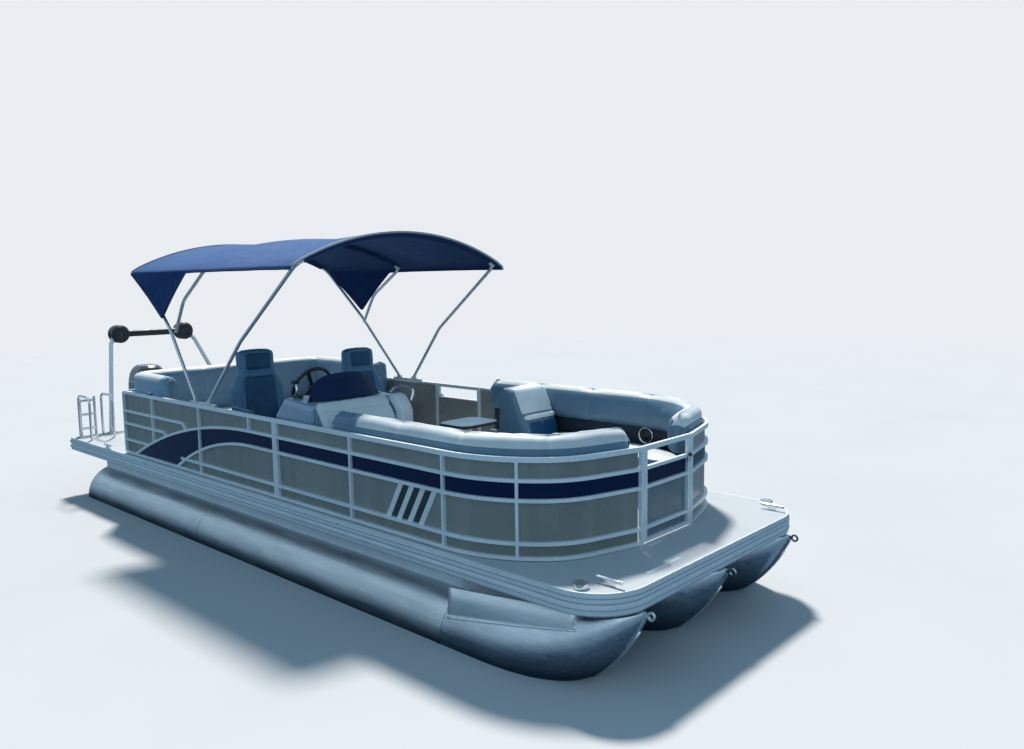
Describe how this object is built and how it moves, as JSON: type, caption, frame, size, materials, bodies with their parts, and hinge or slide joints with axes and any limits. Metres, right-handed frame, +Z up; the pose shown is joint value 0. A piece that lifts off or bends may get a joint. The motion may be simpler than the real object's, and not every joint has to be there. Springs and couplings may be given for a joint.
{
  "type": "pontoon boat",
  "caption": "Pontoon boat on parallel tubes with a fenced deck, lounges, a helm with swivel chairs, a folding-type shade, gates, a boarding ladder and a tilting outboard motor.",
  "frame": {"origin": "the middle of the deck's length and width, at the waterline", "axes": "+X to the bow, +Y to port, +Z up"},
  "size_m": [9.0023, 2.59, 3.4448],
  "materials": {
    "deck_vinyl": "flecked vinyl floor",
    "bright_trim": "satin extrusion",
    "brushed_metal": "brushed, weathered",
    "silver_rail": "satin powder coat",
    "taupe_panel": "gloss",
    "navy_stripe": "gloss",
    "moulded_base": "moulded",
    "upholstery": "marine vinyl",
    "chair_vinyl": "marine vinyl",
    "console_shell": "moulded",
    "tinted_screen": "tinted",
    "black_plastic": "textured",
    "navy_canvas": "woven acrylic canvas",
    "anodised_tube": "anodised",
    "chrome_bright": "polished",
    "black_paint": "gloss"
  },
  "bodies": {
    "hull": {"arch_speakers": "black_plastic", "bimini_feet": "anodised_tube", "bimini_front": "anodised_tube", "bimini_main": "anodised_tube", "bimini_mid": "anodised_tube", "bow_back": "upholstery", "bow_base": "moulded_base", "bow_chaise": "upholstery", "bow_seat": "upholstery", "canopy": "navy_canvas", "chair_pedestals": "anodised_tube", "cleats": "chrome_bright", "console": "console_shell", "crossmembers": "brushed_metal", "deck": "deck_vinyl", "docking_lights": "chrome_bright", "edge_trim": "bright_trim", "frame_port": "silver_rail", "frame_starboard": "silver_rail", "frame_stern": "silver_rail", "ladder_hinge": "chrome_bright", "motor_clamp": "black_paint", "motor_pod": "brushed_metal", "nosecones": "brushed_metal", "panel_stern": "taupe_panel", "panels_port": "taupe_panel", "panels_starboard": "taupe_panel", "platform_rails": "chrome_bright", "risers": "brushed_metal", "slats": "silver_rail", "steering_column": "black_plastic", "stern_back": "upholstery", "stern_base": "moulded_base", "stern_seat": "upholstery", "stripes": "navy_stripe", "table": "console_shell", "tow_arch": "anodised_tube", "tow_eyes": "chrome_bright", "tube_center": "brushed_metal", "tube_port": "brushed_metal", "tube_starboard": "brushed_metal", "windscreen": "tinted_screen"},
    "bow_gate": {"bow_gate_frame": "silver_rail", "bow_gate_panel": "taupe_panel", "bow_gate_stripe": "navy_stripe"},
    "side_gate": {"side_gate_frame": "silver_rail", "side_gate_panel": "taupe_panel", "side_gate_stripe": "navy_stripe"},
    "captain_chair": {"captain_chair": "chair_vinyl"},
    "copilot_chair": {"copilot_chair": "chair_vinyl"},
    "steering_wheel": {"steering_wheel": "black_plastic"},
    "motor_swivel": {"motor_swivel": "black_paint"},
    "motor": {"motor_leg": "black_paint", "motor_cowl": "black_paint"},
    "propeller": {"propeller": "black_paint"},
    "ladder": {"ladder": "chrome_bright"}
  },
  "joints": [
    {"name": "bow_gate_hinge", "type": "hinge", "parent": "hull", "child": "bow_gate", "pos_m": [3.48, -0.296, 0.95], "axis": [0, 0, 1], "range_deg": [0, 90]},
    {"name": "side_gate_hinge", "type": "hinge", "parent": "hull", "child": "side_gate", "pos_m": [0.446, 1.213, 0.95], "axis": [0, 0, 1], "range_deg": [0, 90]},
    {"name": "captain_swivel", "type": "hinge", "parent": "hull", "child": "captain_chair", "pos_m": [-0.52, -0.65, 0.95], "axis": [0, 0, 1], "continuous": true},
    {"name": "copilot_swivel", "type": "hinge", "parent": "hull", "child": "copilot_chair", "pos_m": [-0.52, 0.58, 0.95], "axis": [0, 0, 1], "continuous": true},
    {"name": "motor_tilt", "type": "hinge", "parent": "hull", "child": "motor_swivel", "pos_m": [-4.35, 0, 0.47], "axis": [0, 1, 0], "range_deg": [0, 65]},
    {"name": "motor_steer", "type": "hinge", "parent": "motor_swivel", "child": "motor", "pos_m": [-4.47, 0, 0.33], "axis": [0, 0, 1], "range_deg": [-30, 30]},
    {"name": "propeller_spin", "type": "hinge", "parent": "motor", "child": "propeller", "pos_m": [-4.835, 0, -0.33], "axis": [1, 0, 0], "continuous": true},
    {"name": "wheel_turn", "type": "hinge", "parent": "hull", "child": "steering_wheel", "pos_m": [0.33, -0.75, 1.535], "axis": [-0.8829, 0, 0.4695], "range_deg": [-370, 370]},
    {"name": "ladder_fold", "type": "hinge", "parent": "hull", "child": "ladder", "pos_m": [-3.99, -1.06, 0.59], "axis": [0, -1, 0], "range_deg": [0, 175]}
  ],
  "couplings": [
    {"joint": "wheel_turn", "follows": "motor_steer", "ratio": -12}
  ]
}
